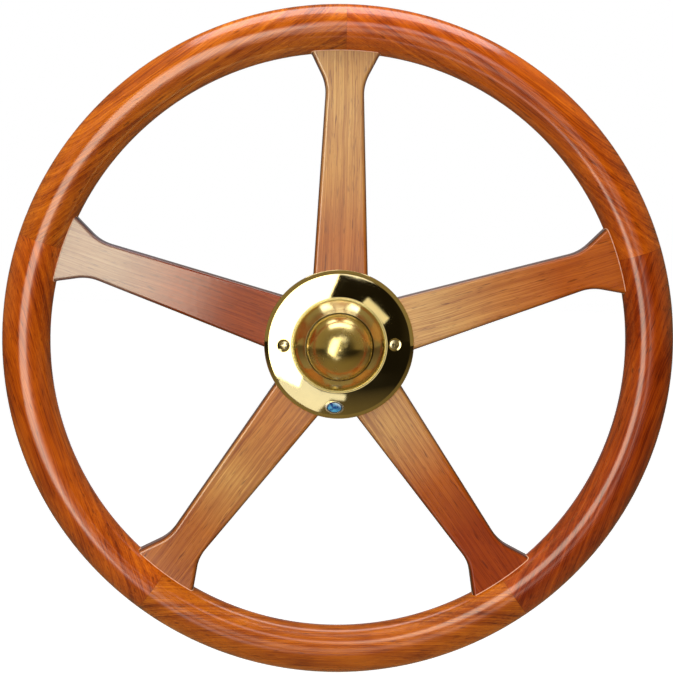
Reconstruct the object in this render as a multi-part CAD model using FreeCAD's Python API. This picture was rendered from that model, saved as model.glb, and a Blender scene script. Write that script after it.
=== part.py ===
import math
import os

import FreeCAD, Part

# A boat's steering wheel: a round teak rim made of five felloes, five flat teak spokes tenoned into
# the rim's joints, and a turned brass hub that clamps the spokes' roots between two discs. The wheel
# stands upright. Its axis lies along Y, its front faces -Y and its first spoke points up. The origin
# is on the shaft's axis, in the middle plane of the rim. "Forward" is the distance in front of it.

# Rim
rim_outside = 450.0
grip_thickness = 32.0
glue_gap = 0.05
dowel_thickness = 8.0
dowel_length = 40.0
dowel_end_gap = 0.2

# Spokes
spoke_count = 5
first_spoke_angle = 90.0
spoke_thickness = 14.0
spoke_root_width = 36.0
spoke_waist_width = 25.6
spoke_end_width = 46.0
flare_length = 28.0
flare_angle = 27.0
spoke_edge_round = 2.5
tenon_length = 12.0
tenon_width = 30.0
tenon_thickness = 8.0

# Hub body and back plate
shaft_bore = 19.05
keyway_width = 4.76
keyway_depth = 2.3
boss_thickness = 40.0
boss_reach_behind_plate = 18.0
boss_chamfer = 1.5
pocket_floor_above_spokes = 1.0
pocket_ledge = 4.0
nose_wall = 4.0
nose_height = 5.8
nose_chamfer = 0.6
clamp_flange_side_gap = 3.6
back_plate_outside = 92.0
back_plate_thickness = 5.0
back_plate_round = 2.5
back_plate_land_height = 1.5
back_plate_land_width = 6.0
boss_fit = 0.05

# Front flange
flange_outside = 100.0
flange_wall = 1.4
flange_edge_height = 2.9
flange_edge_band = 2.6
flange_edge_round = 1.2
flange_edge_land = 1.0
flange_edge_land_round = 0.8
flange_face_rise = 3.3
flange_crown_turn = 5.0
flange_crown_end_run = 0.6
flange_foot_margin = 0.5
flange_seat_gap = 0.1
flange_turn = 1.7

# Collar ring
collar_foot_outside = 63.1
collar_height = 11.0
collar_bead_width = 0.9
collar_bead_height = 0.8
collar_bead_round = 0.35
collar_bead_inner_round = 0.1
collar_quirk_width = 0.25
collar_quirk_depth = 0.35
collar_tip_land = 0.35
collar_swell = 0.4
collar_swell_round = 100.0
collar_lip = 0.25
thread_fit = 0.05

# Dome cap and its seal
dome_outside = 43.9
dome_wall = 2.2
dome_overhang = 1.35
dome_side_gap = 0.45
dome_shadow_gap = 0.5
cap_rebate_depth = 0.9
cap_fit = 0.05
skirt_length = 7.2
skirt_wall = 3.3
skirt_chamfer = 0.4
seal_section = 1.7
seal_forward_of_skirt_end = 5.2
seal_fit = 0.03
seal_side_room = 0.25

# Screws
clamp_screws_per_spoke = 2
clamp_screw_shank = 4.0
clamp_screw_head = 7.5
clamp_screw_head_height = 2.3
clamp_screw_sink = 0.25
clamp_screw_nose_gap = 0.75
flange_screw_shank = 3.5
flange_screw_head = 6.4
flange_screw_head_height = 1.4
flange_screw_crown = 0.8
flange_screw_sink = 0.55
flange_screw_mouth = 8.8
flange_screw_tip_room = 0.2
flange_screw_inset = 13.0
screw_tip_chamfer = 0.5
screw_fit = 0.05
hole_overrun = 3.0
recess_width = 1.0
recess_share = 0.62
recess_depth = 1.3

# Badge blank
badge_length = 12.7
badge_width = 8.9
badge_thickness = 0.9
badge_inset = 8.1
badge_angle = -93.0
badge_edge_round = 0.3

# Radii
rim_radius = rim_outside / 2
grip_radius = grip_thickness / 2
rim_centre_radius = rim_radius - grip_radius
rim_inner_radius = rim_radius - grip_thickness
waist_radius = rim_inner_radius - flare_length
tenon_end_radius = rim_inner_radius + tenon_length
dowel_centre_radius = (tenon_end_radius + rim_radius) / 2
bore_radius = shaft_bore / 2
boss_radius = boss_thickness / 2
flange_radius = flange_outside / 2
clamp_flange_radius = flange_radius - flange_wall - clamp_flange_side_gap
back_plate_radius = back_plate_outside / 2
dome_radius = dome_outside / 2
cap_bore_radius = dome_radius - dome_overhang
pocket_radius = cap_bore_radius - pocket_ledge
nose_radius = cap_bore_radius + nose_wall
collar_foot_radius = collar_foot_outside / 2
cap_rebate_radius = dome_radius + dome_side_gap
collar_tip_radius = cap_rebate_radius + collar_tip_land
flange_flat_radius = collar_foot_radius + flange_foot_margin
flange_face_radius = flange_radius - flange_edge_band
flange_face_inside = flange_face_radius - flange_wall / 2
clamp_pitch_radius = nose_radius + clamp_screw_nose_gap + clamp_screw_head / 2
flange_screw_radius = flange_radius - flange_screw_inset
badge_radius = flange_radius - badge_inset
skirt_radius = cap_bore_radius - cap_fit

# Levels forward of the rim's middle plane
spoke_front = spoke_thickness / 2
spoke_back = -spoke_front
plate_back = spoke_back - back_plate_thickness
boss_end = plate_back - boss_reach_behind_plate
flange_edge_top = spoke_front + flange_edge_height
flange_top = flange_edge_top + flange_face_rise
clamp_flange_top = flange_top - flange_wall
nose_top = clamp_flange_top + nose_height
collar_top = flange_top + collar_height
dome_seat = collar_top - cap_rebate_depth
skirt_end = dome_seat - skirt_length
pocket_floor = spoke_front + pocket_floor_above_spokes
pocket_top = skirt_end - dome_shadow_gap
dome_centre = dome_seat + dome_shadow_gap
seal_level = skirt_end + seal_forward_of_skirt_end

# Slopes and angles of the spokes
spoke_step = 360.0 / spoke_count
half_step = math.radians(spoke_step / 2)
spoke_taper = (spoke_root_width - spoke_waist_width) / 2 / (waist_radius - flange_radius)
spoke_slant = math.atan(spoke_taper)
spoke_half_at_axis = spoke_root_width / 2 + spoke_taper * flange_radius
mitre_reach = spoke_half_at_axis / (math.tan(half_step) + spoke_taper)

# The flare is an arc that leaves the tapered side smoothly, then runs straight out to the rim. The
# board is drawn a little way into the rim, then cut back to its surface.
flare_turn = math.radians(flare_angle)
flare_rise = (spoke_end_width - spoke_waist_width) / 2
straight_rise = flare_length * math.tan(flare_turn)
arc_run = math.sin(flare_turn) + math.sin(spoke_slant)
arc_rise = math.cos(spoke_slant) - math.cos(flare_turn)
flare_radius = (straight_rise - flare_rise) / (arc_run * math.tan(flare_turn) - arc_rise)
board_overrun = grip_radius / 2

# The front flange's face bulges from the chord between its flat seat and its edge. Its arc is the
# rounding of the corner where the slopes of its two ends meet.
face_run = flange_face_radius - flange_flat_radius
face_slope = math.atan(flange_face_rise / face_run)
crown_half_turn = math.radians(flange_crown_turn / 2)
crown_leg = math.hypot(face_run, flange_face_rise) / 2 / math.cos(crown_half_turn)
crown_radius = (crown_leg - flange_crown_end_run) / math.tan(crown_half_turn)
crown_depth = crown_radius / math.cos(crown_half_turn)
crown_corner_radius = flange_flat_radius + crown_leg * math.cos(face_slope - crown_half_turn)
crown_corner_level = flange_top - crown_leg * math.sin(face_slope - crown_half_turn)
crown_centre_radius = crown_corner_radius - crown_depth * math.sin(face_slope)
crown_centre_level = crown_corner_level - crown_depth * math.cos(face_slope)

# Coordinates closer than this count as the same
same_place = 0.01

ORIGIN = FreeCAD.Vector(0, 0, 0)
FRONT = FreeCAD.Vector(0, -1, 0)
UP = FreeCAD.Vector(0, 0, 1)


def point(radius, forward, across=0.0):
    return FreeCAD.Vector(radius, -forward, across)


def at_angle(shape, degrees):
    """Turn a shape about the wheel's axis, counterclockwise as seen from the front."""
    turned_shape = shape.copy()
    turned_shape.rotate(ORIGIN, FRONT, degrees)
    return turned_shape


def spoke_angle(index):
    return first_spoke_angle + index * spoke_step


def cylinder(radius, start, end):
    """A cylinder on the wheel's axis between two forward levels."""
    return Part.makeCylinder(radius, end - start, point(0, start), FRONT)


def rounded_outline(corners):
    """A closed outline in the radius and forward plane; each corner is (radius, forward, round)."""
    arrivals = []
    departures = []
    middles = []
    for index, (radius, forward, rounding) in enumerate(corners):
        here = point(radius, forward)
        before = point(*corners[index - 1][:2])
        after = point(*corners[(index + 1) % len(corners)][:2])
        back = (before - here).normalize()
        ahead = (after - here).normalize()
        half_angle = back.getAngle(ahead) / 2
        reach = rounding / math.tan(half_angle)
        arrivals.append(here + back * reach)
        departures.append(here + ahead * reach)
        bisector = (back + ahead).normalize()
        middles.append(here + bisector * (rounding / math.sin(half_angle) - rounding))
    edges = []
    for index, (_, _, rounding) in enumerate(corners):
        if rounding > 0:
            arc = Part.Arc(arrivals[index], middles[index], departures[index])
            edges.append(arc.toShape())
        following = arrivals[(index + 1) % len(corners)]
        edges.append(Part.LineSegment(departures[index], following).toShape())
    return Part.Wire(edges)


def turned(corners):
    """A solid of revolution about the wheel's axis."""
    face = Part.Face(rounded_outline(corners))
    return face.revolve(ORIGIN, FRONT, 360)


def flange_surface(radius):
    """Forward level of the front flange's crowned face."""
    across = radius - crown_centre_radius
    return crown_centre_level + math.sqrt(crown_radius ** 2 - across ** 2)


def flange_tilt(radius):
    """How far the front flange's face leans outwards, in degrees."""
    return math.degrees(math.asin((radius - crown_centre_radius) / crown_radius))


def flange_underside(radius):
    """Forward level of the front flange's straight underside."""
    outer_level = flange_surface(flange_face_inside) - flange_wall
    slope = (clamp_flange_top - outer_level) / (flange_face_inside - flange_flat_radius)
    return clamp_flange_top - (radius - flange_flat_radius) * slope


def countersunk_screw(shank_radius, head_radius, head_height, length, fit):
    """A screw along the axis, its flat head at level 0, the tip behind. fit grows it into a hole."""
    return turned([
        (0, 0, 0),
        (head_radius + fit, 0, 0),
        (shank_radius + fit, -head_height, 0),
        (shank_radius + fit, screw_tip_chamfer - length, 0),
        (shank_radius + fit - screw_tip_chamfer, -length, 0),
        (0, -length, 0),
    ])


def head_crown(head_radius, crown):
    """The low round cap of a raised screw head."""
    round_radius = (head_radius ** 2 + crown ** 2) / (2 * crown)
    ball = Part.makeSphere(round_radius, point(0, crown - round_radius))
    return ball.common(cylinder(head_radius, 0, crown))


def cross_recess(head_radius, crown):
    """Two crossing slots in a screw's head."""
    arm = 2 * head_radius * recess_share
    slots = []
    for length, height in ((arm, recess_width), (recess_width, arm)):
        slot = Part.makeBox(length, recess_depth + crown, height)
        slot.translate(FreeCAD.Vector(-length / 2, -crown, -height / 2))
        slots.append(slot)
    return slots[0].fuse(slots[1])


def onto_flange(shape, radius, degrees):
    """Lay a shape, built at the origin facing the front, on the flange's face."""
    placed = shape.copy()
    placed.rotate(ORIGIN, UP, flange_tilt(radius))
    placed.translate(point(radius, flange_surface(radius)))
    return at_angle(placed, degrees + flange_turn)


def drilled(screw_hole, head_radius, mouth_radius=0.0, sink=0.0):
    """A screw's hole, left open in front of the head. A mouth dishes out from a sunk head's rim."""
    inner = head_radius + screw_fit
    outer = max(inner, mouth_radius)
    if outer == inner:
        return screw_hole.fuse(cylinder(inner, 0, hole_overrun))
    return screw_hole.fuse(turned([
        (0, 0, 0),
        (inner, 0, 0),
        (outer, sink, 0),
        (outer, hole_overrun, 0),
        (0, hole_overrun, 0),
    ]))


def clamp_screws(hole=False):
    """The screws that clamp each spoke's root between the two discs, or the holes that take them."""
    head_radius = clamp_screw_head / 2
    under_flange = flange_underside(clamp_pitch_radius + head_radius)
    head_level = min(under_flange, clamp_flange_top) - clamp_screw_sink
    length = head_level - plate_back - clamp_screw_sink
    shape = (clamp_screw_shank / 2, head_radius, clamp_screw_head_height)
    if hole:
        screw = drilled(countersunk_screw(*shape, length + hole_overrun, screw_fit), head_radius)
    else:
        screw = countersunk_screw(*shape, length, 0).cut(cross_recess(head_radius, 0))
    screw.translate(point(clamp_pitch_radius, head_level))
    step = spoke_step / clamp_screws_per_spoke
    start = first_spoke_angle + step / 2
    count = spoke_count * clamp_screws_per_spoke
    return [at_angle(screw, start + index * step) for index in range(count)]


def flange_screws(hole=False):
    """The two small raised-head screws of the front flange, or their holes."""
    head_radius = flange_screw_head / 2
    shank_radius = flange_screw_shank / 2
    tilt = math.radians(flange_tilt(flange_screw_radius))
    tip_level = spoke_front + flange_screw_tip_room + shank_radius * math.sin(tilt)
    reach = (flange_surface(flange_screw_radius) - tip_level) / math.cos(tilt)
    length = reach - flange_screw_sink
    shape = (shank_radius, head_radius, flange_screw_head_height)
    if hole:
        screw = countersunk_screw(*shape, length + hole_overrun, screw_fit)
        screw = drilled(screw, head_radius, flange_screw_mouth / 2, flange_screw_sink)
    else:
        screw = countersunk_screw(*shape, length, 0).fuse(head_crown(head_radius, flange_screw_crown))
        screw = screw.removeSplitter().cut(cross_recess(head_radius, flange_screw_crown))
    screw.translate(point(0, -flange_screw_sink))
    return [onto_flange(screw, flange_screw_radius, degrees) for degrees in (0, 180)]


def rim_torus(radius):
    return Part.makeTorus(rim_centre_radius, radius, ORIGIN, FRONT)


def tenon(gap):
    """A spoke's tenon along +X, or with gap the mortise that takes it."""
    start = rim_inner_radius - board_overrun
    box = Part.makeBox(
        tenon_end_radius + gap - start, tenon_thickness + 2 * gap, tenon_width + 2 * gap
    )
    box.translate(
        FreeCAD.Vector(start, -tenon_thickness / 2 - gap, -tenon_width / 2 - gap)
    )
    return box


def dowel(gap, end_gap):
    """A dowel across the joint on +X, or with gaps the hole that takes it."""
    half_length = dowel_length / 2 + end_gap
    start = FreeCAD.Vector(dowel_centre_radius, 0, -half_length)
    return Part.makeCylinder(dowel_thickness / 2 + gap, 2 * half_length, start, UP)


def felloe(index):
    """A fifth of the rim, with half a mortise and half a dowel hole at each end."""
    section = Part.Face(Part.Wire(Part.makeCircle(grip_radius, point(rim_centre_radius, 0), UP)))
    segment = at_angle(section, spoke_angle(index)).revolve(ORIGIN, FRONT, spoke_step)
    for joint in (index, index + 1):
        cutter = tenon(glue_gap).fuse(dowel(glue_gap, dowel_end_gap))
        segment = segment.cut(at_angle(cutter, spoke_angle(joint)))
    return segment


def spoke_outline():
    """The board's outline along +X, from the boss to inside the rim, in the plane of its back."""
    root_radius = boss_radius + boss_fit
    centre_x = waist_radius + flare_radius * math.sin(spoke_slant)
    centre_half = spoke_waist_width / 2 + flare_radius * math.cos(spoke_slant)

    def flare(angle):
        x = centre_x + flare_radius * math.sin(angle)
        return x, centre_half - flare_radius * math.cos(angle)

    root = (root_radius * math.cos(half_step), root_radius * math.sin(half_step))
    mitre = (mitre_reach, mitre_reach * math.tan(half_step))
    flare_middle = (flare_turn - spoke_slant) / 2
    end_half = spoke_end_width / 2 + board_overrun * math.tan(flare_turn)
    end = (rim_inner_radius + board_overrun, end_half)
    upper = [root, mitre, flare(-spoke_slant), flare(flare_middle), flare(flare_turn), end]
    high = [point(x, spoke_back, half) for x, half in upper]
    low = [point(x, spoke_back, -half) for x, half in upper]
    return Part.Wire([
        Part.Arc(low[0], point(root_radius, spoke_back), high[0]).toShape(),
        Part.LineSegment(high[0], high[1]).toShape(),
        Part.LineSegment(high[1], high[2]).toShape(),
        Part.Arc(high[2], high[3], high[4]).toShape(),
        Part.LineSegment(high[4], high[5]).toShape(),
        Part.LineSegment(high[5], low[5]).toShape(),
        Part.LineSegment(low[5], low[4]).toShape(),
        Part.Arc(low[4], low[3], low[2]).toShape(),
        Part.LineSegment(low[2], low[1]).toShape(),
        Part.LineSegment(low[1], low[0]).toShape(),
    ])


def side_edges(board):
    """The long edges of the board's two faces, along its tapered sides and flares."""
    chosen = []
    for edge in board.Edges:
        box = edge.BoundBox
        in_a_face = box.YLength < same_place
        off_centre = abs(box.Center.z) > same_place
        past_mitre = box.XMin > mitre_reach - same_place
        if in_a_face and off_centre and past_mitre:
            chosen.append(edge)
    return chosen


def spoke(index, screw_holes):
    """A flat board with rounded sides, shouldered to the rim, tenoned and mitred to its neighbours."""
    board = Part.Face(spoke_outline()).extrude(FRONT * spoke_thickness)
    board = board.makeFillet(spoke_edge_round, side_edges(board))
    board = board.cut(rim_torus(grip_radius + glue_gap))
    beyond = cylinder(rim_radius, spoke_back, spoke_front).cut(
        cylinder(rim_centre_radius, spoke_back, spoke_front)
    )
    board = board.cut(beyond)
    board = board.fuse(tenon(0)).removeSplitter()
    return at_angle(board, spoke_angle(index)).cut(screw_holes)


def hub_body(screw_holes):
    """Boss, clamping flange and threaded nose in one turning, bored and keyed for the shaft."""
    seat = flange_underside(clamp_flange_radius) - flange_seat_gap
    body = turned([
        (bore_radius, boss_end, 0),
        (boss_radius - boss_chamfer, boss_end, 0),
        (boss_radius, boss_end + boss_chamfer, 0),
        (boss_radius, spoke_front, 0),
        (clamp_flange_radius, spoke_front, 0),
        (clamp_flange_radius, seat, 0),
        (flange_flat_radius - flange_seat_gap, clamp_flange_top, 0),
        (nose_radius, clamp_flange_top, 0),
        (nose_radius, nose_top - nose_chamfer, 0),
        (nose_radius - nose_chamfer, nose_top, 0),
        (cap_bore_radius, nose_top, 0),
        (cap_bore_radius, pocket_top, 0),
        (pocket_radius, pocket_top, 0),
        (pocket_radius, pocket_floor, 0),
        (bore_radius, pocket_floor, 0),
    ])
    keyway = Part.makeBox(keyway_width, pocket_floor - boss_end, bore_radius + keyway_depth)
    keyway.translate(FreeCAD.Vector(-keyway_width / 2, -pocket_floor, 0))
    return body.cut(keyway).cut(screw_holes)


def back_plate(screw_holes):
    """The disc behind the spokes, with a raised land round the boss and a rounded edge."""
    inner = boss_radius + boss_fit
    land = inner + back_plate_land_width
    plate = turned([
        (inner, spoke_back, 0),
        (back_plate_radius, spoke_back, 0),
        (back_plate_radius, plate_back, back_plate_round),
        (land + back_plate_land_height, plate_back, 0),
        (land, plate_back - back_plate_land_height, 0),
        (inner, plate_back - back_plate_land_height, 0),
    ])
    return plate.cut(screw_holes)


def front_flange(screw_holes):
    """A saucer pressed from sheet: bevelled edge on the spokes, crowned face, flat inner seat."""
    edge = flange_radius
    inner = nose_radius + flange_seat_gap
    saucer = turned([
        (inner, flange_top, 0),
        (flange_flat_radius, flange_top, 0),
        (crown_corner_radius, crown_corner_level, crown_radius),
        (flange_face_radius, flange_edge_top, flange_edge_round),
        (edge, spoke_front + flange_edge_land, min(flange_edge_land_round, flange_edge_land)),
        (edge, spoke_front, 0),
        (edge - flange_wall, spoke_front, 0),
        (flange_face_inside, flange_underside(flange_face_inside), 0),
        (flange_flat_radius, clamp_flange_top, 0),
        (inner, clamp_flange_top, 0),
    ])
    return saucer.cut(screw_holes)


def collar_ring():
    """The steep ring on the hub's nose: bead at the foot, swelling slope, tip rebated for the cap."""
    foot = collar_foot_radius
    bead_inside = foot - collar_bead_width
    slope_start = bead_inside - collar_quirk_width
    bead_top = flange_top + collar_bead_height
    quirk = bead_top - collar_quirk_depth
    middle_radius = (slope_start + collar_tip_radius) / 2 + collar_swell
    middle_level = (quirk + collar_top) / 2
    nose_seat = nose_top + flange_seat_gap
    inner = nose_radius + thread_fit
    return turned([
        (inner, flange_top, 0),
        (foot, flange_top, 0),
        (foot, bead_top, min(collar_bead_round, collar_bead_width / 2)),
        (bead_inside, bead_top, min(collar_bead_inner_round, collar_quirk_depth / 2)),
        (bead_inside, quirk, 0),
        (slope_start, quirk, 0),
        (middle_radius, middle_level, collar_swell_round),
        (collar_tip_radius, collar_top, collar_lip),
        (cap_rebate_radius, collar_top, 0),
        (cap_rebate_radius, dome_seat, 0),
        (cap_bore_radius + collar_lip, dome_seat, 0),
        (cap_bore_radius, dome_seat - collar_lip, 0),
        (cap_bore_radius, nose_seat, 0),
        (inner, nose_seat, 0),
    ])


def dome_cap():
    """A half-round shell with a skirt that plugs the collar; a groove in the skirt takes the seal."""
    skirt_inside = skirt_radius - skirt_wall
    groove_half = seal_section / 2 + seal_side_room
    groove_floor = cap_bore_radius - 2 * seal_fit - seal_section
    outside = Part.makeSphere(dome_radius, point(0, dome_centre), FRONT, 0, 90, 360)
    stem = turned([
        (0, skirt_end, 0),
        (skirt_radius - skirt_chamfer, skirt_end, 0),
        (skirt_radius, skirt_end + skirt_chamfer, 0),
        (skirt_radius, seal_level - groove_half, 0),
        (groove_floor, seal_level - groove_half, 0),
        (groove_floor, seal_level + groove_half, 0),
        (skirt_radius, seal_level + groove_half, 0),
        (skirt_radius, dome_seat, 0),
        (dome_radius - dome_shadow_gap, dome_seat, 0),
        (dome_radius, dome_centre, 0),
        (0, dome_centre, 0),
    ])
    hollow = Part.makeSphere(dome_radius - dome_wall, point(0, dome_centre), FRONT, 0, 90, 360)
    mouth = cylinder(skirt_inside, skirt_end, dome_centre)
    step = cylinder(skirt_inside, dome_centre, dome_centre + dome_radius)
    return outside.fuse(stem).cut(mouth).cut(hollow.common(step)).removeSplitter()


def cap_seal():
    centre_radius = cap_bore_radius - seal_fit - seal_section / 2
    return Part.makeTorus(centre_radius, seal_section / 2, point(0, seal_level), FRONT)


def badge_blank():
    """A plain oval plate, its long side across the wheel's radius."""
    oval = Part.Ellipse(ORIGIN, badge_length / 2, badge_width / 2)
    outline = Part.Wire(oval.toShape())
    outline.rotate(ORIGIN, FreeCAD.Vector(1, 0, 0), 90)
    outline.rotate(ORIGIN, FRONT, 90)
    plate = Part.Face(outline).extrude(FRONT * badge_thickness)
    front_edges = [
        edge for edge in plate.Edges
        if edge.BoundBox.YMax < -badge_thickness / 2
    ]
    plate = plate.makeFillet(badge_edge_round, front_edges)
    # The flat back bridges the curve of the flange's face, so it stands on its middle.
    return onto_flange(plate, badge_radius, badge_angle - flange_turn)


def write(name, solids):
    shape = Part.makeCompound(solids) if len(solids) > 1 else solids[0]
    shape.exportStep(os.path.join("parts", name + ".step"))


def main():
    os.makedirs("parts", exist_ok=True)
    clamp_holes = Part.makeCompound(clamp_screws(hole=True))
    flange_holes = Part.makeCompound(flange_screws(hole=True))
    for index in range(spoke_count):
        number = str(index + 1)
        write("rim_felloe_" + number, [felloe(index)])
        write("spoke_" + number, [spoke(index, clamp_holes)])
    write("rim_dowels", [at_angle(dowel(0, 0), spoke_angle(k)) for k in range(spoke_count)])
    write("hub_body", [hub_body(Part.makeCompound([clamp_holes, flange_holes]))])
    write("back_plate", [back_plate(clamp_holes)])
    write("clamp_screws", clamp_screws())
    write("front_flange", [front_flange(flange_holes)])
    write("flange_screws", flange_screws())
    write("collar_ring", [collar_ring()])
    write("dome_cap", [dome_cap()])
    write("cap_seal", [cap_seal()])
    write("badge_blank", [badge_blank()])


main()
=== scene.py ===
"""Looks of the boat steering wheel: camera, studio, varnished teak and polished brass.

Lengths are metres, in the part's own frame: the axis lies along Y, the front faces -Y and
the first spoke points up.
"""
import math

import bpy
from mathutils import Matrix, Vector


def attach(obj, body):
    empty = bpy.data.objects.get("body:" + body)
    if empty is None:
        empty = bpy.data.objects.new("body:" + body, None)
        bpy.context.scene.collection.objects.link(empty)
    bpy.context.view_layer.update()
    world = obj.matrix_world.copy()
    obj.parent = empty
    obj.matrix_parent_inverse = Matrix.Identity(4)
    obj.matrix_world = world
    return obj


# Camera, fitted to the photograph
AIM = Vector((-0.001662, 0.0, 0.004587))
DISTANCE = 1.2558
AZIMUTH = math.radians(-1.3268)
ELEVATION = math.radians(5.5264)
ROLL = math.radians(1.34)
LENS = 100.13
SENSOR = 36.0

# Sizes repeated from the part
CENTRE_RADIUS = 0.209
GRIP_RADIUS = 0.016
RIM_INNER_RADIUS = 0.193
BOARD_HALF_THICKNESS = 0.007
BOARD_EDGE_ROUND = 0.0025
BOARD_END_HALF_WIDTH = 0.023
FLARE_ANGLE = math.radians(27.0)
BADGE_RADIUS = 0.0419
BADGE_ANGLE = math.radians(-93.0)
BADGE_HALF_LENGTH = 0.00635
BADGE_HALF_WIDTH = 0.00445
CAP_GAP = (0.0219, 0.0227)
SPOKE_COUNT = 5
SPOKE_STEP = 2 * math.pi / SPOKE_COUNT
SPOKE_ANGLES = [math.pi / 2 + SPOKE_STEP * k for k in range(SPOKE_COUNT)]

# Varnish line round a spoke's shoulder
BEAD_THICKNESS = 0.0007
BEAD_SIDES = 8

# Studio
FLOOR_LEVEL = -0.95
FLOOR_HALF_WIDTH = 12.0
PANEL_DEPTH = -0.75
WARM_WHITE = (1.0, 0.93, 0.72)

# Where a spoke's colour, partly painted sheen, turns from its inner to its middle tone, and from that to
# its outer one
INNER_TURN = (0.07, 0.115)
OUTER_TURN = (0.115, 0.155)

# Teak: its lines from the darkest to the palest round a middle, and the boards' mean colours, which on
# the spokes are partly painted sheen
TEAK_MIDDLE = (0.44, 0.080, 0.0030)
TEAK_RAMP = [
    (0.0, (0.10, 0.011, 0.0010)),
    (0.28, (0.26, 0.036, 0.0018)),
    (0.5, TEAK_MIDDLE),
    (0.72, (0.60, 0.130, 0.0050)),
    (1.0, (0.78, 0.21, 0.0100)),
]
# Dark colour for pores, flecks and glue lines, also laid on the spokes' rounded edges as painted shade
TEAK_PORE_AND_EDGE_SHADE = (0.075, 0.010, 0.0015)
STRAW = (0.51, 0.25, 0.075)
HONEY = (0.475, 0.20, 0.048)
AMBER = (0.45, 0.145, 0.024)
COPPER = (0.38, 0.10, 0.012)
CHESTNUT = (0.385, 0.075, 0.002)
REDWOOD = (0.39, 0.062, 0.0015)
MAHOGANY = (0.29, 0.036, 0.001)
OXBLOOD = (0.235, 0.031, 0.001)
ASH_SHEEN = (0.30, 0.16, 0.096)

# Row 1 is for the spoke that points up and the felloe that follows it, anticlockwise from the front.
# A spoke's three colours are near the hub, halfway and near the rim; they are partly painted sheen.
FELLOE_LOOKS = [
    {"seed": 1, "light": 0.02, "tones_and_sheen": (CHESTNUT,) * 3},
    {"seed": 2, "light": 0.02, "tones_and_sheen": (REDWOOD,) * 3},
    {"seed": 3, "light": 0.02, "tones_and_sheen": (CHESTNUT,) * 3},
    {"seed": 4, "light": -0.02, "tones_and_sheen": (MAHOGANY,) * 3},
    {"seed": 5, "light": 0.0, "tones_and_sheen": (REDWOOD,) * 3},
]
SPOKE_LOOKS = [
    {"seed": 11, "tones_and_sheen": (COPPER, HONEY, STRAW)},
    {"seed": 12, "tones_and_sheen": (OXBLOOD, OXBLOOD, ASH_SHEEN)},
    {"seed": 13, "tones_and_sheen": (AMBER, HONEY, COPPER)},
    {"seed": 14, "tones_and_sheen": (HONEY, CHESTNUT, MAHOGANY)},
    {"seed": 15, "tones_and_sheen": (STRAW, AMBER, CHESTNUT)},
]

# Room levels by depth: 0 straight in front of the wheel, 0.5 in its plane, 1 straight behind it
AMBIENT = ((0.0, 0.02), (0.5, 0.02), (0.52, 0.1), (0.72, 0.2), (0.8, 0.8), (1.0, 0.8))
MIRRORED = ((0.0, 0.01), (0.06, 0.01), (0.12, 0.06), (0.25, 0.22), (0.5, 0.28), (0.72, 0.28),
            (0.94, 0.14), (0.975, 0.25), (1.0, 0.25))
TINTED = ((0.0, 1.0), (0.94, 1.0), (0.96, 0.0), (1.0, 0.0))
ROOM_TINT = (1.0, 0.78, 0.36)


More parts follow.
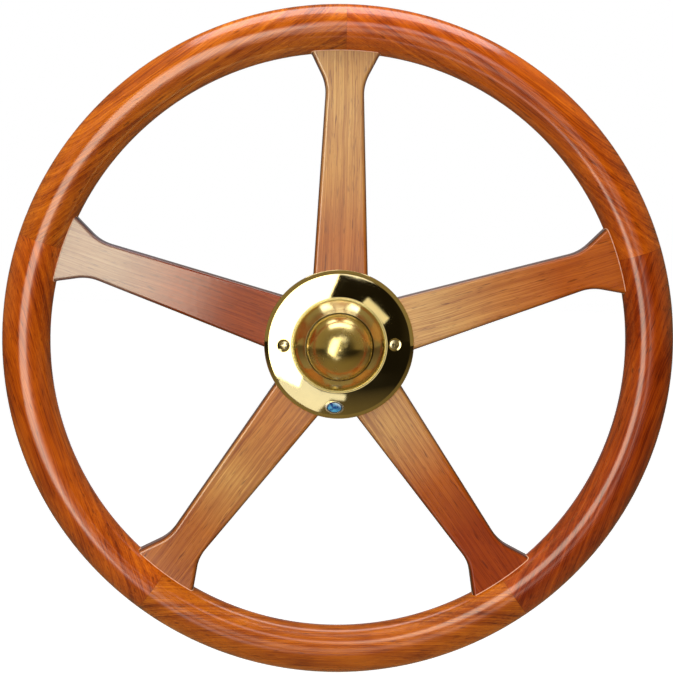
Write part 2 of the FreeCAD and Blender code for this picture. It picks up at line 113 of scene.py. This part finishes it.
class Graph:
    """A material's node tree, with short calls for the nodes that these finishes use."""

    def __init__(self, name):
        self.material = bpy.data.materials.new(name)
        self.material.use_nodes = True
        self.tree = self.material.node_tree
        self.tree.nodes.clear()
        self.output = self.node("ShaderNodeOutputMaterial")
        self.shader = self.node("ShaderNodeBsdfPrincipled")
        self.link(self.shader.outputs["BSDF"], self.output.inputs["Surface"])
        self.position = self.node("ShaderNodeTexCoord").outputs["Object"]

    def node(self, kind, **settings):
        made = self.tree.nodes.new(kind)
        for key, value in settings.items():
            setattr(made, key, value)
        return made

    def link(self, source, target):
        self.tree.links.new(source, target)

    def feed(self, socket, value):
        if isinstance(value, bpy.types.NodeSocket):
            self.link(value, socket)
        else:
            socket.default_value = value

    def math(self, operation, *values, clamp=False):
        made = self.node("ShaderNodeMath", operation=operation, use_clamp=clamp)
        for socket, value in zip(made.inputs, values):
            self.feed(socket, value)
        return made.outputs[0]

    def dot(self, direction):
        """How far the shaded point lies along a direction."""
        made = self.node("ShaderNodeVectorMath", operation="DOT_PRODUCT")
        self.link(self.position, made.inputs[0])
        made.inputs[1].default_value = direction
        return made.outputs["Value"]

    def vector(self, x, y, z):
        made = self.node("ShaderNodeCombineXYZ")
        for socket, value in zip(made.inputs, (x, y, z)):
            self.feed(socket, value)
        return made.outputs[0]

    def noise(self, vector, scale=1.0, detail=2.0, roughness=0.5):
        made = self.node("ShaderNodeTexNoise", noise_dimensions="3D")
        self.feed(made.inputs["Vector"], vector)
        made.inputs["Scale"].default_value = scale
        made.inputs["Detail"].default_value = detail
        made.inputs["Roughness"].default_value = roughness
        return made.outputs["Fac"]

    def noise_line(self, value, detail):
        made = self.node("ShaderNodeTexNoise", noise_dimensions="1D")
        self.feed(made.inputs["W"], value)
        made.inputs["Scale"].default_value = 1.0
        made.inputs["Detail"].default_value = detail
        return made.outputs["Fac"]

    def span(self, value, low, high, to_low=0.0, to_high=1.0, smooth=False):
        """Carry the range from low to high over to another range, held at its ends."""
        made = self.node("ShaderNodeMapRange", clamp=True)
        if smooth:
            made.interpolation_type = "SMOOTHSTEP"
        for socket, part in zip(made.inputs, (value, low, high, to_low, to_high)):
            self.feed(socket, part)
        return made.outputs[0]

    def ramp(self, value, stops):
        made = self.node("ShaderNodeValToRGB")
        self.link(value, made.inputs[0])
        elements = made.color_ramp.elements
        while len(elements) < len(stops):
            elements.new(0.5)
        for element, (place, colour) in zip(elements, stops):
            element.position = place
            element.color = (*colour, 1.0)
        return made.outputs[0]

    def blend(self, factor, first, second, mode="MIX"):
        made = self.node("ShaderNodeMix", data_type="RGBA", blend_type=mode)
        self.feed(made.inputs[0], factor)
        for socket, value in ((made.inputs[6], first), (made.inputs[7], second)):
            if isinstance(value, tuple):
                socket.default_value = (*value, 1.0)
            else:
                self.link(value, socket)
        return made.outputs[2]

    def bump(self, height, strength, distance, target="Normal"):
        made = self.node("ShaderNodeBump")
        made.inputs["Strength"].default_value = strength
        made.inputs["Distance"].default_value = distance
        self.link(height, made.inputs["Height"])
        self.link(made.outputs[0], self.shader.inputs[target])

    def set(self, **values):
        """Fill sockets of the shader, named with _ for each space."""
        for key, value in values.items():
            socket = self.shader.inputs[key.replace("_", " ")]
            self.feed(socket, (*value, 1.0) if isinstance(value, tuple) else value)

    def wheel_radius(self):
        """Distance from the wheel's axis."""
        parts = self.node("ShaderNodeSeparateXYZ")
        self.link(self.position, parts.inputs[0])
        squares = self.math("ADD", self.math("POWER", parts.outputs[0], 2.0),
                            self.math("POWER", parts.outputs[2], 2.0))
        return self.math("SQRT", squares)

    def squareness(self):
        """1 on faces that look to the front or back, falling to 0 where they look sideways."""
        parts = self.node("ShaderNodeSeparateXYZ")
        self.link(self.node("ShaderNodeTexCoord").outputs["Normal"], parts.inputs[0])
        return self.math("ABSOLUTE", parts.outputs[1])


def teak(name, grain, across, seed, tones_and_sheen, light=0.0, contrast=1.0, pith=(-0.11, 0.09),
         coat_roughness=0.18, coat_ior=1.78, blotch=0.75, ends=(), painted_edge_shade=0.0):
    """Varnished teak whose grain runs along one direction of the wheel's plane.

    Its three colours are the board's mean colours in three stretches along the grain; on the spokes
    they are partly painted sheen. pith is where the tree's heart lies in its section. ends holds the
    normals of the planes through the axis where the piece is glued to the next. The rounded edges are
    darkened by a set amount as painted shade.
    """
    g = Graph(name)
    u = g.dot(grain)
    v = g.dot(across)
    w = g.dot((0.0, 1.0, 0.0))
    shift = seed * 1.37

    def drawn_out(along, sideways, offset, detail, roughness=0.5):
        return g.noise(g.vector(g.math("MULTIPLY_ADD", u, along, shift + offset),
                                g.math("MULTIPLY", v, sideways),
                                g.math("MULTIPLY", w, sideways)), detail=detail, roughness=roughness)

    # Growth rings: distance from the tree's heart, wandering slowly along the grain
    drift = drawn_out(8.0, 18.0, 0.0, 3.0)
    from_heart = g.math("ADD", g.math("POWER", g.math("SUBTRACT", v, pith[0]), 2.0),
                        g.math("POWER", g.math("SUBTRACT", w, pith[1]), 2.0))
    ring = g.math("ADD", g.math("SQRT", from_heart), g.math("MULTIPLY", drift, 0.010))
    ring = g.math("ADD", ring, shift)
    broad = g.noise_line(g.math("MULTIPLY", ring, 330.0), detail=1.5)
    fine = g.noise_line(g.math("MULTIPLY", ring, 1500.0), detail=1.0)

    # Fibres, cloudy figure, dark flecks and open pores, all drawn out along the grain
    fibre = drawn_out(24.0, 1100.0, 0.0, 3.0, 0.6)
    figure = drawn_out(26.0, 75.0, 3.0, 2.0)
    fleck = g.span(drawn_out(75.0, 620.0, 5.0, 1.0), 0.64, 0.76, smooth=True)
    pore = g.span(drawn_out(140.0, 2600.0, 9.0, 1.0), 0.64, 0.74, smooth=True)

    tone = g.math("MULTIPLY", g.math("SUBTRACT", broad, 0.5), 0.55)
    for part, weight in ((fine, 0.42), (fibre, 0.66), (figure, blotch)):
        tone = g.math("MULTIPLY_ADD", g.math("SUBTRACT", part, 0.5), weight, tone)
    tone = g.math("MULTIPLY_ADD", tone, contrast, 0.50 + light, clamp=True)
    wood = g.ramp(tone, TEAK_RAMP)

    # Pores, flecks and glue lines are dark; the rounded edges are darkened too, as painted shade
    dark = g.math("MAXIMUM", g.math("MULTIPLY", pore, 0.55), g.math("MULTIPLY", fleck, 0.6))
    for normal in ends:
        gap = g.math("ABSOLUTE", g.dot(normal))
        dark = g.math("MAXIMUM", dark, g.span(gap, 0.0001, 0.0005, 0.25, 0.0))
    # Painted shade on the rounded edges that face sideways
    dark = g.math("MAXIMUM", dark, g.span(g.squareness(), 0.62, 0.97, painted_edge_shade, 0.0))
    wood = g.blend(dark, wood, TEAK_PORE_AND_EDGE_SHADE)

    # Board colours in three stretches along the grain; on the spokes they are partly painted sheen
    inner, middle, outer = [tuple(part / base for part, base in zip(tone, TEAK_MIDDLE)) for tone in tones_and_sheen]
    tint = g.blend(g.span(u, *INNER_TURN), inner, middle)
    tint = g.blend(g.span(u, *OUTER_TURN), tint, outer)
    wood = g.blend(1.0, wood, tint, mode="MULTIPLY")
    g.set(Base_Color=wood, Roughness=g.span(tone, 0.2, 0.9, 0.5, 0.38), Coat_Weight=1.0,
          Coat_Roughness=coat_roughness, Coat_IOR=coat_ior, Specular_IOR_Level=0.0)
    depth = g.math("SUBTRACT", g.math("MULTIPLY", fibre, 0.35), pore)
    g.bump(depth, 0.35, 0.00012)
    skin = g.noise(g.position, scale=260.0, detail=1.0)
    g.bump(skin, 0.06, 0.0003, target="Coat Normal")
    return g.material


def varnish(name):
    """The line of varnish that fills a joint: a real fillet, coloured paler than the wood as a painted
    highlight.
    """
    g = Graph(name)
    cloud = g.noise(g.position, scale=500.0, detail=2.0)
    g.set(Base_Color=g.blend(cloud, (0.62, 0.28, 0.14), (0.80, 0.45, 0.26)),
          Roughness=g.span(cloud, 0.3, 0.7, 0.22, 0.34), Coat_Weight=1.0, Coat_Roughness=0.15)
    g.bump(cloud, 0.1, 0.0001)
    return g.material


def brass(name, colour, roughness, lathe=0.0, painted_gap_shade=None):
    """Turned and polished brass with faint lathe lines and hair scratches.

    The optional two radii bound a narrow gap whose brass is painted darker and rougher, as painted shade.
    """
    g = Graph(name)
    radius = g.wheel_radius()
    lines = g.noise_line(g.math("MULTIPLY", radius, 9000.0), detail=2.0)
    smear = g.noise(g.position, scale=70.0, detail=4.0, roughness=0.6)
    scratch = g.noise(g.vector(g.math("MULTIPLY", g.dot((0.8, 0.0, 0.6)), 3500.0),
                               g.math("MULTIPLY", g.dot((-0.6, 0.0, 0.8)), 60.0), 0.0), detail=2.0)
    hair = g.span(scratch, 0.68, 0.80, smooth=True)
    rough = g.math("ADD", g.span(smear, 0.35, 0.75, roughness * 0.75, roughness * 1.35),
                   g.math("MULTIPLY", hair, 0.05))
    tint = g.blend(g.span(smear, 0.3, 0.8), colour, tuple(c * 0.9 for c in colour))
    # Painted shade in the narrow gap under the dome: darker, rougher brass between the two radii
    if painted_gap_shade:
        inside, outside = painted_gap_shade
        fade = 0.15 * (outside - inside)
        gap_shade_mask = g.math("MULTIPLY", g.span(radius, inside - fade, inside + fade),
                       g.span(radius, outside - fade, outside + fade, 1.0, 0.0))
        tint = g.blend(gap_shade_mask, tint, (0.10, 0.06, 0.02))
        rough = g.math("MULTIPLY_ADD", gap_shade_mask, 0.35, rough)
    g.set(Base_Color=tint, Metallic=1.0, Roughness=rough)
    height = g.math("MULTIPLY_ADD", hair, -0.4, lines)
    g.bump(height, 0.03 + lathe, 0.00005)
    return g.material


def enamel(name):
    """Blue enamel in a pale metal rim, with a painted glint on the side toward the hub."""
    g = Graph(name)
    centre = Vector((math.cos(BADGE_ANGLE), 0.0, math.sin(BADGE_ANGLE)))
    side = Vector((-centre.z, 0.0, centre.x))
    along = g.math("DIVIDE", g.dot(tuple(side)), BADGE_HALF_LENGTH)
    outward = g.math("DIVIDE", g.math("SUBTRACT", g.dot(tuple(centre)), BADGE_RADIUS),
                     BADGE_HALF_WIDTH)
    reach = g.math("SQRT", g.math("ADD", g.math("POWER", along, 2.0), g.math("POWER", outward, 2.0)))
    rim = g.span(reach, 0.80, 0.83, smooth=True)
    line = g.math("MULTIPLY", g.span(reach, 0.70, 0.73), g.math("SUBTRACT", 1.0, rim))
    cloud = g.noise(g.position, scale=420.0, detail=2.0)
    glaze = g.blend(g.span(cloud, 0.40, 0.60), (0.01, 0.05, 0.22), (0.10, 0.42, 0.62))
    # Painted glint: a pale patch on the enamel's side toward the hub
    painted_glint = g.span(g.math("SUBTRACT", outward, g.math("MULTIPLY", along, 0.6)), -0.75, -0.35, 1.0, 0.0)
    glaze = g.blend(g.math("MULTIPLY", painted_glint, 0.75), glaze, (0.72, 0.86, 0.92))
    glaze = g.blend(line, glaze, (0.01, 0.015, 0.03))
    g.set(Base_Color=g.blend(rim, glaze, (0.85, 0.83, 0.76)), Metallic=rim,
          Roughness=g.span(rim, 0.0, 1.0, 0.12, 0.42), Coat_Weight=0.6, Coat_Roughness=0.06)
    dome = g.math("SUBTRACT", 1.0, g.math("POWER", reach, 2.0))
    g.bump(g.math("ADD", dome, g.math("MULTIPLY", rim, 0.4)), 1.0, 0.0007)
    return g.material


def plain_wood(name):
    """Pale unvarnished hardwood."""
    g = Graph(name)
    fibre = g.noise(g.position, scale=700.0, detail=4.0)
    g.set(Base_Color=g.blend(fibre, (0.62, 0.42, 0.22), (0.48, 0.30, 0.15)),
          Roughness=g.span(fibre, 0.3, 0.7, 0.55, 0.7))
    g.bump(fibre, 0.3, 0.0001)
    return g.material


def steel(name):
    """Bright stainless steel."""
    g = Graph(name)
    grain = g.noise(g.position, scale=1400.0, detail=3.0)
    g.set(Base_Color=g.blend(grain, (0.58, 0.58, 0.59), (0.66, 0.66, 0.65)), Metallic=1.0,
          Roughness=g.span(grain, 0.3, 0.7, 0.22, 0.38))
    g.bump(grain, 0.12, 0.00005)
    return g.material


def rubber(name):
    """Matt black rubber."""
    g = Graph(name)
    grain = g.noise(g.position, scale=2200.0, detail=2.0)
    g.set(Base_Color=g.blend(grain, (0.022, 0.022, 0.022), (0.04, 0.04, 0.038)),
          Roughness=g.span(grain, 0.3, 0.7, 0.5, 0.68))
    g.bump(grain, 0.2, 0.00005)
    return g.material


def dress(node, material):
    """Give a carried-over node its finish."""
    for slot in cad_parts[node].material_slots:
        slot.material = material


def shoulder_line():
    """The closed line where a board pointing along +X meets the rim, as (x, y, z) points."""
    quarter = [math.radians(15 * k) for k in range(7)]
    flat = [k / 12 for k in range(-12, 13)]
    section = [("across", part, 0.0) for part in flat]
    section += [("round", 1.0, angle) for angle in quarter[1:-1]]
    section += [("side", 1.0, 1 - k / 4) for k in range(9)]
    points = []
    for kind, part, extra in section:
        depth = {"across": -BOARD_HALF_THICKNESS,
                 "round": -BOARD_HALF_THICKNESS + BOARD_EDGE_ROUND * (1 - math.cos(extra)),
                 "side": -extra * (BOARD_HALF_THICKNESS - BOARD_EDGE_ROUND)}[kind]
        radius = CENTRE_RADIUS - math.sqrt(GRIP_RADIUS ** 2 - depth ** 2)
        x = radius
        for _ in range(4):
            half = BOARD_END_HALF_WIDTH - (RIM_INNER_RADIUS - x) * math.tan(FLARE_ANGLE)
            sideways = {"across": part * (half - BOARD_EDGE_ROUND),
                        "round": half - BOARD_EDGE_ROUND * (1 - math.sin(extra)),
                        "side": half}[kind]
            x = math.sqrt(radius ** 2 - sideways ** 2)
        points.append(Vector((x, depth, sideways)))
    back = [Vector((p.x, -p.y, -p.z)) for p in points]
    return points + back


def sweep(name, points):
    """A closed round bead along a line of points."""
    vertices = []
    faces = []
    count = len(points)
    for index, here in enumerate(points):
        forward = (points[(index + 1) % count] - points[index - 1]).normalized()
        first = forward.orthogonal().normalized()
        if index:
            first = (last - forward * last.dot(forward)).normalized()
        last = first
        second = forward.cross(first)
        for side in range(BEAD_SIDES):
            angle = 2 * math.pi * side / BEAD_SIDES
            outwards = first * math.cos(angle) + second * math.sin(angle)
            vertices.append(here + outwards * BEAD_THICKNESS / 2)
    for index in range(count):
        after = (index + 1) % count
        for side in range(BEAD_SIDES):
            beside = (side + 1) % BEAD_SIDES
            faces.append((index * BEAD_SIDES + side, index * BEAD_SIDES + beside,
                          after * BEAD_SIDES + beside, after * BEAD_SIDES + side))
    mesh = bpy.data.meshes.new(name)
    mesh.from_pydata([tuple(v) for v in vertices], [], faces)
    mesh.shade_smooth()
    mesh.update()
    bead = bpy.data.objects.new(name, mesh)
    bpy.context.scene.collection.objects.link(bead)
    return bead


def joint_beads(material):
    """A fine line of varnish round each spoke's shoulder."""
    line = shoulder_line()
    for number, angle in enumerate(SPOKE_ANGLES, 1):
        turn = Matrix.Rotation(-angle, 3, "Y")
        bead = sweep(f"joint_bead_{number}", [turn @ point for point in line])
        bead.data.materials.append(material)
        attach(bead, "wheel")


def area_light(name, position, target, width, height, radiance, colour=(1.0, 1.0, 1.0), turn=0.0,
               sheen=True, fill=True):
    """A soft panel. sheen and fill say whether it shows in gloss and whether it lights the colours."""
    lamp = bpy.data.lights.new(name, "AREA")
    lamp.shape = "RECTANGLE"
    lamp.size = width
    lamp.size_y = height
    lamp.energy = radiance * math.pi * width * height
    lamp.color = colour
    obj = bpy.data.objects.new(name, lamp)
    bpy.context.scene.collection.objects.link(obj)
    obj.location = position
    obj.rotation_euler = (Vector(target) - Vector(position)).to_track_quat("-Z", "Y").to_euler()
    obj.rotation_euler.rotate_axis("Z", math.radians(turn))
    obj.visible_glossy = sheen
    obj.visible_diffuse = fill


def make_camera():
    """A long lens a little above the wheel's axis, turned slightly about its line of sight."""
    away = Vector((math.sin(AZIMUTH) * math.cos(ELEVATION),
                   -math.cos(AZIMUTH) * math.cos(ELEVATION), math.sin(ELEVATION)))
    right = (-away).cross(Vector((0, 0, 1))).normalized()
    up = right.cross(-away)
    turned_right = math.cos(ROLL) * right + math.sin(ROLL) * up
    turned_up = -math.sin(ROLL) * right + math.cos(ROLL) * up
    data = bpy.data.cameras.new("camera")
    data.lens = LENS
    data.sensor_width = SENSOR
    data.clip_start = 0.01
    camera = bpy.data.objects.new("camera", data)
    bpy.context.scene.collection.objects.link(camera)
    basis = Matrix((turned_right, turned_up, away)).transposed()
    camera.matrix_world = Matrix.Translation(AIM + DISTANCE * away) @ basis.to_4x4()
    bpy.context.scene.camera = camera


def make_world():
    """White to the camera. Gloss sees a dim, warm room, darkest in front and pale straight behind."""
    world = bpy.data.worlds.new("studio")
    bpy.context.scene.world = world
    world.use_nodes = True
    tree = world.node_tree
    tree.nodes.clear()
    output = tree.nodes.new("ShaderNodeOutputWorld")
    background = tree.nodes.new("ShaderNodeBackground")
    tree.links.new(background.outputs[0], output.inputs["Surface"])
    direction = tree.nodes.new("ShaderNodeTexCoord").outputs["Generated"]
    parts = tree.nodes.new("ShaderNodeSeparateXYZ")
    tree.links.new(direction, parts.inputs[0])
    half = tree.nodes.new("ShaderNodeMath")
    half.operation = "MULTIPLY_ADD"
    half.inputs[1].default_value = 0.5
    half.inputs[2].default_value = 0.5
    tree.links.new(parts.outputs[1], half.inputs[0])

    def by_depth(stops):
        ramp = tree.nodes.new("ShaderNodeFloatCurve")
        curve = ramp.mapping.curves[0]
        for depth, level in stops[1:-1]:
            curve.points.new(depth, level)
        curve.points[0].location = stops[0]
        curve.points[-1].location = stops[-1]
        for point in curve.points:
            point.handle_type = "VECTOR"
        ramp.mapping.update()
        tree.links.new(half.outputs[0], ramp.inputs["Value"])
        return ramp.outputs[0]

    def pick(factor, first, second):
        mix = tree.nodes.new("ShaderNodeMix")
        tree.links.new(factor, mix.inputs[0])
        for socket, value in ((mix.inputs[2], first), (mix.inputs[3], second)):
            if isinstance(value, float):
                socket.default_value = value
            else:
                tree.links.new(value, socket)
        return mix.outputs[0]

    rays = tree.nodes.new("ShaderNodeLightPath")
    glossy = rays.outputs["Is Glossy Ray"]
    level = pick(glossy, by_depth(AMBIENT), by_depth(MIRRORED))
    level = pick(rays.outputs["Is Camera Ray"], level, 1.0)
    tree.links.new(level, background.inputs["Strength"])
    room = pick(glossy, 0.0, by_depth(TINTED))
    tint = tree.nodes.new("ShaderNodeMix")
    tint.data_type = "RGBA"
    tint.inputs[6].default_value = (1.0, 1.0, 1.0, 1.0)
    tint.inputs[7].default_value = (*ROOM_TINT, 1.0)
    tree.links.new(room, tint.inputs[0])
    tree.links.new(tint.outputs[2], background.inputs["Color"])
    world.cycles.sampling_method = "NONE"


def make_floor():
    """Pale paper. It clips to white in the camera and keeps the shadow; metal in front sees it dark."""
    g = Graph("floor_paper")
    cloud = g.noise(g.position, scale=1.2, detail=2.0)
    rays = g.node("ShaderNodeLightPath")
    glossy = rays.outputs["Is Glossy Ray"]
    depth = g.dot((0.0, 1.0, 0.0))
    behind = g.span(depth, -0.1, 0.5)
    lit = g.math("MAXIMUM", behind, g.math("SUBTRACT", 1.0, glossy))
    paper = g.blend(cloud, (0.48, 0.48, 0.48), (0.52, 0.52, 0.52))
    paper = g.blend(glossy, paper, (0.34, 0.26, 0.12))
    near = g.span(depth, -2.0, -0.6)
    unlit = g.blend(near, (0.006, 0.005, 0.003), (0.20, 0.15, 0.06))
    g.set(Base_Color=g.blend(lit, unlit, paper), Roughness=0.9,
          Emission_Color=(1.0, 1.0, 1.0),
          Emission_Strength=g.math("MULTIPLY", rays.outputs["Is Camera Ray"], 0.9))
    half = FLOOR_HALF_WIDTH
    mesh = bpy.data.meshes.new("floor")
    mesh.from_pydata([(-half, -half, FLOOR_LEVEL), (half, -half, FLOOR_LEVEL),
                      (half, half, FLOOR_LEVEL), (-half, half, FLOOR_LEVEL)], [], [(0, 1, 2, 3)])
    floor = bpy.data.objects.new("floor", mesh)
    mesh.materials.append(g.material)
    bpy.context.scene.collection.objects.link(floor)


def make_lights():
    """Fills that light the colours, and panels in front that only show as reflections."""
    wheel = (0.0, 0.0, 0.0)
    area_light("fill_front", (0.0, -3.0, 0.0), wheel, 1.9, 1.9, 4.9, sheen=False)
    area_light("fill_top", (0.0, -0.2, 1.5), wheel, 1.2, 1.2, 7.8, sheen=False)
    area_light("fill_corner", (-1.0, -0.6, 1.0), wheel, 1.2, 1.2, 2.3, sheen=False)

    def panel(name, x, z, width, height, radiance, depth=PANEL_DEPTH, **look):
        """A panel in front that faces straight back."""
        area_light(name, (x, depth, z), (x, 0.0, z), width, height, radiance, fill=False, **look)

    panel("key", -0.305, 0.094, 0.41, 0.86, 3.8, turn=-18.0, colour=(1.0, 0.95, 0.76))
    panel("key_foot", -0.225, -0.42, 0.36, 0.20, 1.0, turn=-35.0)
    panel("key_wedge", -0.03, -0.425, 0.20, 0.05, 1.0, turn=-8.0)
    panel("key_top", 0.13, 0.49, 0.40, 0.22, 1.8, turn=-12.0)
    panel("behind_camera", 0.08, -0.08, 0.30, 0.70, 0.95, depth=-2.2, colour=WARM_WHITE)
    area_light("overhead", (0.03, 0.135, 1.15), (0.03, 0.135, 0.0), 1.3, 0.8, 2.9, fill=False)
    area_light("side_card", (0.36, -1.12, 0.21), wheel, 0.28, 0.085, 1.0, WARM_WHITE, turn=-45.0,
               fill=False)


def dress_wood():
    """Each felloe's grain follows its chord, and each spoke's its length."""
    looks = zip(SPOKE_ANGLES, FELLOE_LOOKS, SPOKE_LOOKS)
    for number, (angle, felloe_look, spoke_look) in enumerate(looks, 1):
        next_angle = angle + SPOKE_STEP
        middle = angle + SPOKE_STEP / 2
        chord = (-math.sin(middle), 0.0, math.cos(middle))
        outward = (math.cos(middle), 0.0, math.sin(middle))
        ends = [(-math.sin(end), 0.0, math.cos(end)) for end in (angle, next_angle)]
        felloe = teak(f"rim_teak_{number}", chord, outward, ends=ends, **felloe_look)
        dress(f"rim_felloe_{number}", felloe)

        length = (math.cos(angle), 0.0, math.sin(angle))
        width = (-math.sin(angle), 0.0, math.cos(angle))
        # The spokes' rounded edges are darkened as painted shade
        spoke = teak(f"spoke_teak_{number}", length, width, pith=(-0.05, 0.02), contrast=0.72,
                     coat_roughness=0.15, coat_ior=1.85, blotch=0.4, painted_edge_shade=0.85, **spoke_look)
        dress(f"spoke_{number}", spoke)


def dress_hub():
    """Polished brass in front, duller brass behind, and the small pieces."""
    dress("hub_body", brass("hub_brass", (0.75, 0.58, 0.27), 0.25, lathe=0.2))
    dress("back_plate", brass("plate_brass", (0.75, 0.58, 0.27), 0.22, lathe=0.15))
    dress("front_flange", brass("flange_brass", (0.89, 0.74, 0.38), 0.05))
    # The collar's ring beside the dome's gap gets painted shade
    dress("collar_ring", brass("collar_brass", (0.90, 0.78, 0.38), 0.18, lathe=0.04, painted_gap_shade=CAP_GAP))
    dress("dome_cap", brass("dome_brass", (0.88, 0.70, 0.29), 0.23))
    dress("flange_screws", brass("screw_brass", (0.78, 0.68, 0.44), 0.28))
    dress("clamp_screws", steel("screw_steel"))
    dress("cap_seal", rubber("seal_rubber"))
    dress("badge_blank", enamel("badge_enamel"))


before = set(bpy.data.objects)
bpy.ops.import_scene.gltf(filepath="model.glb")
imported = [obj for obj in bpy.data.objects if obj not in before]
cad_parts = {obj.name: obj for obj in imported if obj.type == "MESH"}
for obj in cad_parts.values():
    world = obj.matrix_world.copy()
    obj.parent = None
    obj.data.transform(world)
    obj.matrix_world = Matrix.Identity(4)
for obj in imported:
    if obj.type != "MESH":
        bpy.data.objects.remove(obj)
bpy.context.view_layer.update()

make_camera()
make_world()
make_floor()
make_lights()

dress_wood()
# Varnish beads at the shoulders, coloured pale as a painted highlight
joint_beads(varnish("joint_varnish_highlight"))
dress("rim_dowels", plain_wood("dowel_wood"))
dress_hub()

scene = bpy.context.scene
scene.view_settings.view_transform = "Standard"
